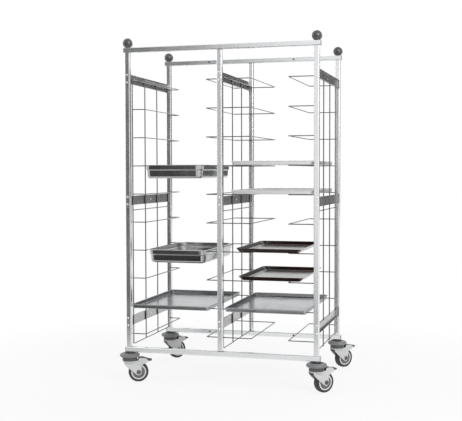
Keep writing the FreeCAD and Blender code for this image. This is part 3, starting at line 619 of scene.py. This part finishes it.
def centre_rack():
    """The centre rack, whose closed loops reach into both bays."""
    mesh = bmesh.new()
    rack_grid(mesh, CENTRE_UPRIGHT_X, CENTRE_CROSS_X)
    for level in range(1, LEVELS + 1):
        z = rest_height(level)
        loop = [
            (-LOOP_LEFT, -LOOP_ARM, z),
            (LOOP_RIGHT, -LOOP_ARM, z),
            (LOOP_RIGHT, LOOP_ARM, z),
            (-LOOP_LEFT, LOOP_ARM, z),
        ]
        add_wire(mesh, loop, REST_WIRE, Z_AXIS, closed=True)
        for side in (-1, 1):
            add_weld(mesh, (CENTRE_UPRIGHT_X, (LOOP_ARM + 2.8) * side, z), 2.8, 2.4)
    finish_piece("rack_centre_wires", mesh, "frame", wire_steel, ["rack_centre"])


# Castors

def castor_place(corner):
    """Placing matrix of a castor: local +X points from the swivel axis to the axle."""
    x, y, turn = CASTOR_TURNS[corner]
    return Matrix.Translation((x, y, 0)) @ Matrix.Rotation(math.radians(turn), 4, "Z")


def wheel_place(corner):
    """Placing matrix whose local Z runs along the axle."""
    centre = castor_place(corner) @ Matrix.Translation((TRAIL, 0, WHEEL_CENTRE))
    return centre @ Matrix.Rotation(math.radians(-90), 4, "X")


def side_place(corner):
    """Placing matrix whose local XY plane is the castor's upright middle plane."""
    return castor_place(corner) @ Matrix.Rotation(math.radians(90), 4, "X")


def mirrored(profile):
    """A profile followed by its mirror image across height zero."""
    return profile + [(radius, -height) for radius, height in reversed(profile)]


def castor_tops():
    """Wall bumpers, swivel housings and necks of the four castors, with a near-black ring on each
    bumper's top as painted shade under the rail, and the necks darkened as painted shade of the
    gap.
    """
    discs = bmesh.new()
    shade_rings = bmesh.new()
    races = bmesh.new()
    stems = bmesh.new()
    disc = [(0.0, 125.5), (40.0, 125.5), (44.4, 126.6), (47.8, 129.2), (49.6, 132.6), (50.0, 135.6)]
    disc += [
        (49.2, 138.8), (46.8, 141.6), (42.0, 144.0), (36.0, 145.6), (30.5, 146.3), (0.0, 146.3),
    ]
    # Near-black ring on the bumper's top: painted shade under the rail.
    shade_ring_profile = [(0.0, 146.3), (29.4, 146.3), (30.2, 146.7), (29.8, 147.3), (29.0, 147.5), (0.0, 147.5)]
    race = [(0.0, 121.0), (6.1, 121.0), (6.1, 108.0), (33.5, 108.0), (35.8, 108.8), (37.0, 111.0)]
    race += [
        (37.0, 115.6), (36.4, 116.2), (36.4, 117.4), (37.0, 118.0), (37.0, 123.6), (36.0, 125.0),
    ]
    race += [(34.0, 125.5), (0.0, 125.5)]
    # The neck sits in the shadowed gap under the rail. Its dark finish is painted shade.
    neck = [(0.0, 147.5), (15.0, 147.5), (15.0, 151.6), (14.3, 152.5), (6.0, 152.5), (6.0, 171.5)]
    neck += [(5.2, 172.5), (0.0, 172.5)]
    for corner in CASTOR_TURNS:
        place = castor_place(corner)
        add_lathe(discs, disc, place, 72)
        add_lathe(shade_rings, shade_ring_profile, place, 72)
        add_lathe(races, race, place, 64)
        add_lathe(stems, neck, place, 36)
    finish_piece(
        "castor_wall_discs", discs, "frame", disc_plastic, ["castor_bumpers"],
    )
    finish_piece("castor_painted_shade_rings", shade_rings, "frame", black_plastic_and_painted_shade)
    finish_piece("castor_housings", races, "frame", race_plastic, ["castor_races"])
    finish_piece("castor_necks", stems, "frame", stem_steel_painted_shade, ["castor_stems"])


FORK_OUTLINE = [
    ((-33.0, 107.7), 2.0),
    ((-30.0, 93.0), 14.0),
    ((-13.0, 75.0), 30.0),
    ((58.0, 15.5), 15.5),
    ((57.0, 67.0), 8.0),
    ((61.0, 86.0), 10.0),
    ((77.0, 95.0), 16.0),
    ((92.0, 100.5), 2.6),
    ((91.0, 108.5), 5.0),
    ((80.0, 118.0), 14.0),
    ((62.0, 121.0), 10.0),
    ((45.0, 121.0), 3.0),
    ((40.0, 107.7), 0.0),
]
PEDAL_OUTLINE = [
    ((51.0, 122.5), 1.5),
    ((51.6, 99.4), 4.0),
    ((62.0, 99.4), 4.0),
    ((66.0, 112.5), 5.0),
    ((80.0, 109.5), 12.0),
    ((95.0, 103.5), 8.0),
    ((109.0, 105.8), 2.4),
    ((109.8, 113.5), 2.4),
    ((101.0, 111.0), 8.0),
    ((82.0, 117.6), 22.0),
    ((64.0, 123.5), 10.0),
]


def fork(corner):
    """Moulded fork: two swept cheeks under a round crown, with the pins it carries."""
    mesh = bmesh.new()
    place = castor_place(corner)
    upright = side_place(corner)
    for low, high in ((CHEEK_INNER, CHEEK_OUTER), (-CHEEK_OUTER, -CHEEK_INNER)):
        add_slab(mesh, FORK_OUTLINE, low, high, upright, 1.4)
    crown = [(0.0, CROWN_LOW), (34.5, CROWN_LOW), (36.0, CROWN_LOW + 1.2), (36.0, CROWN_TOP - 1.0)]
    pin_top = CROWN_TOP + KING_PIN_LENGTH
    crown += [(35.0, CROWN_TOP), (KING_PIN_RADIUS, CROWN_TOP)]
    crown += [(KING_PIN_RADIUS, pin_top), (0.0, pin_top)]
    add_lathe(mesh, crown, place)
    x, z = PEDAL_PIVOT
    across = upright @ Matrix.Translation((x, z, 0))
    pin = mirrored([(0.0, CHEEK_INNER), (PEDAL_PIN_RADIUS, CHEEK_INNER)])
    add_lathe(mesh, pin, across, 20)
    finish_piece(
        f"castor_fork_{corner}", mesh, f"castor_{corner}", fork_plastic,
        [f"fork_{corner}"],
    )


FORK_LINER = [
    ((-31.0, 102.2), 1.0),
    ((-28.6, 93.0), 13.0),
    ((-15.0, 77.6), 6.0),
    ((-10.5, 80.5), 3.0),
    ((-5.0, 91.0), 12.0),
    ((8.0, 100.0), 8.0),
    ((10.0, 102.2), 0.0),
]


def fork_liner(corner):
    """Black web between the cheeks, behind the wheel."""
    mesh = bmesh.new()
    add_slab(mesh, FORK_LINER, -CHEEK_INNER, CHEEK_INNER, side_place(corner), 0.3, 1)
    finish_piece(f"castor_liner_{corner}", mesh, f"castor_{corner}", black_plastic_and_painted_shade)


def brake_pedal(corner):
    """Plain foot pedal, pivoted on the fork's pin."""
    mesh = bmesh.new()
    width = PEDAL_HALF_WIDTH
    add_slab(mesh, PEDAL_OUTLINE, -width, width, side_place(corner), 1.2)
    finish_piece(
        f"castor_pedal_{corner}", mesh, f"pedal_{corner}", pedal_plastic,
        [f"brake_pedal_{corner}"]
    )


def wheel(corner):
    """Axle, thread guards, moulded centre and tyre of one castor."""
    place = wheel_place(corner)
    axle = bmesh.new()
    cap = [
        (0.0, 23.4), (3.6, 23.4), (4.2, 25.2), (8.8, 25.3), (10.4, 24.8), (11.0, 23.6),
        (11.0, 16.0),
    ]
    add_lathe(axle, mirrored(cap), place, 44)
    finish_piece(
        f"castor_axle_{corner}", axle, f"castor_{corner}", axle_plastic,
        [f"axle_{corner}"],
    )

    guards = bmesh.new()
    ring = [
        (11.0, 16.3), (30.0, 16.3), (30.0, 17.2), (29.2, 17.9), (27.0, 18.2), (26.0, 17.7),
        (24.5, 17.7), (23.5, 18.3), (11.0, 18.3),
    ]
    add_lathe(guards, ring, place, 56, closed=True)
    add_lathe(guards, [(radius, -height) for radius, height in ring], place, 56, closed=True)
    finish_piece(
        f"castor_guards_{corner}", guards, f"castor_{corner}", guard_plastic,
        [f"thread_guards_{corner}"]
    )

    rim = bmesh.new()
    half = [
        (11.1, 14.9), (15.0, 15.0), (15.6, 10.0), (28.5, 9.0), (30.5, 14.2), (31.5, 15.0),
        (37.2, 15.0), (38.0, 14.2),
    ]
    add_lathe(rim, mirrored(half), place, 56, closed=True)
    finish_piece(
        f"castor_rim_{corner}", rim, f"wheel_{corner}", rim_plastic,
        [f"rim_{corner}"],
    )

    tread = bmesh.new()
    half = [
        (38.0, 15.0), (39.5, 15.8), (43.5, 16.0), (46.6, 15.2), (48.7, 13.2), (49.7, 9.8),
        (50.0, 5.0),
    ]
    add_lathe(tread, mirrored(half), place, 72, closed=True)
    finish_piece(
        f"castor_tyre_{corner}", tread, f"wheel_{corner}", tyre_rubber,
        [f"tyre_{corner}"],
    )


# Trays and pans

def load_place(x, y, level):
    """Placing matrix of a tray on the rests of a level."""
    return Matrix.Translation((x, y, rest_height(level) + LOAD_LIFT))


def food_pan(name, y, level):
    """Deep pan: flat rim, stacking shoulder, sloped walls and rounded foot."""
    mesh = bmesh.new()
    outside = [
        (44.0, -PAN_DEPTH), (31.0, -PAN_DEPTH), (26.4, -PAN_DEPTH + 1.2), (22.6, -PAN_DEPTH + 3.8),
    ]
    outside += [(20.0, -PAN_DEPTH + 7.6), (18.6, -PAN_DEPTH + 12.0), (16.6, -PAN_SHOULDER - 3.4)]
    outside += [
        (15.6, -PAN_SHOULDER - 1.2), (12.6, -PAN_SHOULDER + 0.8), (11.8, -PAN_SHOULDER + 2.4),
    ]
    outside += [(11.4, -2.4), (10.6, -0.6), (8.8, 0.0)]
    rim = [
        (1.2, 0.0), (0.2, 0.3), (0.0, 0.8), (0.3, 1.4), (1.2, PAN_RIM), (9.0, PAN_RIM),
        (11.4, PAN_RIM - 0.6),
    ]
    inside = [
        (12.6, -1.0), (13.0, -PAN_SHOULDER + 2.2), (13.8, -PAN_SHOULDER + 0.4),
        (16.8, -PAN_SHOULDER - 1.4),
    ]
    inside += [(17.8, -PAN_SHOULDER - 3.6), (19.8, -PAN_DEPTH + 12.2), (21.2, -PAN_DEPTH + 8.2)]
    inside += [(23.6, -PAN_DEPTH + 4.8), (27.2, -PAN_DEPTH + 2.4), (31.4, -PAN_DEPTH + PAN_WALL)]
    inside += [(44.0, -PAN_DEPTH + PAN_WALL)]
    profile = outside + rim + inside
    place = load_place(LEFT_LOAD_X, y, level)
    add_dish(mesh, *PAN_SIZE, PAN_CORNER, profile, place, PAN_WALL_CORNER)
    finish_piece(f"{name}_body", mesh, f"{name}_load", pan_steel, [name])


def sheet_tray(name, x, y, level, finish=tray_steel):
    """Baking sheet tray with low walls and a rolled rim."""
    mesh = bmesh.new()
    profile = [
        (9.0, 0.0), (6.0, 0.1), (4.6, 0.7), (4.0, 2.0), (4.0, 14.6), (3.2, 15.0), (1.6, 15.1),
    ]
    profile += [
        (0.5, 15.9), (0.0, 17.4), (0.4, 18.8), (1.5, 19.8), (3.0, 20.0), (4.4, 19.6), (5.3, 18.5),
    ]
    profile += [(5.5, 17.0), (5.5, 4.0), (6.1, 2.4), (7.4, 1.6), (10.0, 1.5)]
    add_dish(mesh, *SHEET_SIZE, SHEET_CORNER, profile, load_place(x, y, level))
    finish_piece(f"{name}_sheet", mesh, f"{name}_load", finish, [name])


def brown_tray(name, y, level):
    """Shallow enamelled tray with sloped walls and a rounded edge."""
    mesh = bmesh.new()
    profile = [
        (24.0, 0.0), (18.6, 0.2), (16.2, 1.4), (14.4, 3.4), (1.6, 18.2), (0.4, 19.0), (0.0, 19.5),
    ]
    profile += [
        (0.5, 19.9), (1.6, 20.0), (2.8, 19.7), (4.4, 18.3), (15.6, 5.0), (17.8, 2.8), (20.4, 1.7),
    ]
    profile += [(26.0, 1.5)]
    add_dish(mesh, *PAN_SIZE, PAN_CORNER, profile, load_place(RIGHT_LOAD_X, y, level))
    finish_piece(f"{name}_enamel", mesh, f"{name}_load", brown_enamel, [name])


dress_frame()
ball_bumpers()
end_caps()
painted_joint_shadows()
screws()
side_rack("rack_left", -1, LEFT_REST_RUN)
side_rack("rack_right", 1, RIGHT_REST_RUN)
centre_rack()
castor_tops()
for corner in CASTOR_TURNS:
    fork(corner)
    fork_liner(corner)
    brake_pedal(corner)
    wheel(corner)
food_pan("pan_upper", -45.0, 4)
food_pan("pan_lower", 0.0, 7)
sheet_tray("sheet_tray_left_low", LEFT_LOAD_X, -62.0, 9)
sheet_tray("sheet_tray_right_low", RIGHT_LOAD_X, -62.0, 9)
sheet_tray("sheet_tray_right_upper", HIGH_SHEET_X, 5.0, 4, bright_sheet)
sheet_tray("sheet_tray_right_middle", HIGH_SHEET_X, 5.0, 5, bright_sheet)
brown_tray("brown_tray_upper", -40.0, 7)
brown_tray("brown_tray_lower", 3.0, 8)


# Studio

FLOOR_WHITE = 0.85
FLOOR_RADIUS = 6.0
FADE_START, FADE_END = 1.0, 2.2
WORLD_LIGHT = 0.55
CAMERA_PLACE = (1.2763, -4.6127, 1.0510)
CAMERA_ANGLES = (15.82, -2.37, -0.13)
CAMERA_LENS = 72.24


def white_rays(tree):
    """1 for camera, glossy and transmission rays, else 0."""
    path = tree.nodes.new("ShaderNodeLightPath")
    total = path.outputs["Is Camera Ray"]
    for name in ("Is Glossy Ray", "Is Transmission Ray"):
        add = tree.nodes.new("ShaderNodeMath")
        add.operation = "MAXIMUM"
        tree.links.new(total, add.inputs[0])
        tree.links.new(path.outputs[name], add.inputs[1])
        total = add.outputs[0]
    return total


def studio_world():
    """White to the eye and in reflections, dimmer as a light."""
    world = bpy.data.worlds.new("studio")
    bpy.context.scene.world = world
    world.use_nodes = True
    tree = world.node_tree
    seen = tree.nodes["Background"]
    seen.inputs["Color"].default_value = (1, 1, 1, 1)
    seen.inputs["Strength"].default_value = 1.0
    lit = tree.nodes.new("ShaderNodeBackground")
    lit.inputs["Color"].default_value = (1, 1, 1, 1)
    lit.inputs["Strength"].default_value = WORLD_LIGHT
    mix = tree.nodes.new("ShaderNodeMixShader")
    tree.links.new(white_rays(tree), mix.inputs["Fac"])
    tree.links.new(lit.outputs[0], mix.inputs[1])
    tree.links.new(seen.outputs[0], mix.inputs[2])
    tree.links.new(mix.outputs[0], tree.nodes["World Output"].inputs["Surface"])


def studio_floor():
    """Pale round floor that keeps the shadow and fades into the backdrop."""
    mesh = bmesh.new()
    bmesh.ops.create_circle(mesh, cap_ends=True, segments=96, radius=FLOOR_RADIUS)
    data = bpy.data.meshes.new("studio_floor")
    mesh.to_mesh(data)
    mesh.free()
    floor = bpy.data.objects.new("studio_floor", data)
    bpy.context.collection.objects.link(floor)
    finish, tree, shader, coordinates = new_material("pale_floor")
    shader.inputs["Base Color"].default_value = (0.93, 0.93, 0.93, 1)
    shader.inputs["Roughness"].default_value = 0.9
    shader.inputs["Specular IOR Level"].default_value = 0.1
    length = tree.nodes.new("ShaderNodeVectorMath")
    length.operation = "LENGTH"
    tree.links.new(coordinates.outputs["Object"], length.inputs[0])
    fade = tree.nodes.new("ShaderNodeMapRange")
    fade.interpolation_type = "SMOOTHSTEP"
    fade.inputs["From Min"].default_value = FADE_START
    fade.inputs["From Max"].default_value = FADE_END
    tree.links.new(length.outputs["Value"], fade.inputs["Value"])
    white = tree.nodes.new("ShaderNodeEmission")
    share = tree.nodes.new("ShaderNodeMath")
    share.operation = "MULTIPLY"
    share.inputs[1].default_value = FLOOR_WHITE
    tree.links.new(white_rays(tree), share.inputs[0])
    lifted = tree.nodes.new("ShaderNodeMixShader")
    tree.links.new(share.outputs[0], lifted.inputs["Fac"])
    tree.links.new(shader.outputs[0], lifted.inputs[1])
    tree.links.new(white.outputs[0], lifted.inputs[2])
    clear = tree.nodes.new("ShaderNodeBsdfTransparent")
    mix = tree.nodes.new("ShaderNodeMixShader")
    tree.links.new(fade.outputs["Result"], mix.inputs["Fac"])
    tree.links.new(lifted.outputs[0], mix.inputs[1])
    tree.links.new(clear.outputs[0], mix.inputs[2])
    tree.links.new(mix.outputs[0], tree.nodes["Material Output"].inputs["Surface"])
    data.materials.append(finish)


def softbox(name, place, target, size, power):
    """Square soft light aimed at a point."""
    lamp = bpy.data.lights.new(name, "AREA")
    lamp.shape = "RECTANGLE"
    lamp.size, lamp.size_y = size
    lamp.energy = power
    obj = bpy.data.objects.new(name, lamp)
    obj.location = place
    aim = Vector(target) - Vector(place)
    obj.rotation_euler = aim.to_track_quat("-Z", "Y").to_euler()
    bpy.context.collection.objects.link(obj)


def grey_card(name, place, target, size, shade):
    """Card that only reflections see, which gives the steel its darker faces."""
    mesh = bmesh.new()
    bmesh.ops.create_grid(mesh, x_segments=1, y_segments=1, size=0.5)
    bmesh.ops.scale(mesh, vec=(size[0], size[1], 1), verts=mesh.verts)
    data = bpy.data.meshes.new(name)
    mesh.to_mesh(data)
    mesh.free()
    card = bpy.data.objects.new(name, data)
    card.location = place
    aim = Vector(target) - Vector(place)
    card.rotation_euler = aim.to_track_quat("-Z", "Y").to_euler()
    bpy.context.collection.objects.link(card)
    finish, tree = new_material(name)[:2]
    glow = tree.nodes.new("ShaderNodeEmission")
    glow.inputs["Color"].default_value = (shade, shade, shade, 1)
    tree.links.new(glow.outputs[0], tree.nodes["Material Output"].inputs["Surface"])
    data.materials.append(finish)
    card.visible_camera = False
    card.visible_diffuse = False
    card.visible_shadow = False


def photo_camera():
    """Camera at the photograph's viewing angle."""
    yaw, pitch, roll = (math.radians(angle) for angle in CAMERA_ANGLES)
    level = math.cos(pitch)
    forward = Vector((-math.sin(yaw) * level, math.cos(yaw) * level, math.sin(pitch)))
    right = forward.cross(Z_AXIS).normalized()
    up = right.cross(forward)
    turn = Matrix((right, up, -forward)).transposed() @ Matrix.Rotation(roll, 3, "Z")
    lens = bpy.data.cameras.new("photo_camera")
    lens.sensor_width = 36.0
    lens.lens = CAMERA_LENS
    camera = bpy.data.objects.new("photo_camera", lens)
    camera.matrix_world = Matrix.Translation(CAMERA_PLACE) @ turn.to_4x4()
    bpy.context.collection.objects.link(camera)
    bpy.context.scene.camera = camera


studio_world()
studio_floor()
softbox("key", (2.7, -2.9, 2.9), (0, 0, 0.9), (2.0, 2.0), 70)
softbox("fill", (-3.0, -1.6, 2.4), (0, 0, 0.9), (2.4, 2.4), 14)
softbox("back", (0.4, 3.4, 3.0), (0, 0, 0.9), (2.8, 1.8), 30)
grey_card("left_card", (-3.0, -4.2, 1.4), (-0.3, 0, 1.2), (3.6, 4.6), 0.09)
grey_card("back_card", (1.55, 4.2, 2.6), (1.3, 0, 2.0), (2.4, 4.0), 0.16)
grey_card("low_card", (-1.2, -5.6, -1.7), (-1.2, 0, -1.7), (6.0, 2.6), 0.02)
photo_camera()

view = bpy.context.scene.view_settings
view.view_transform = "Standard"
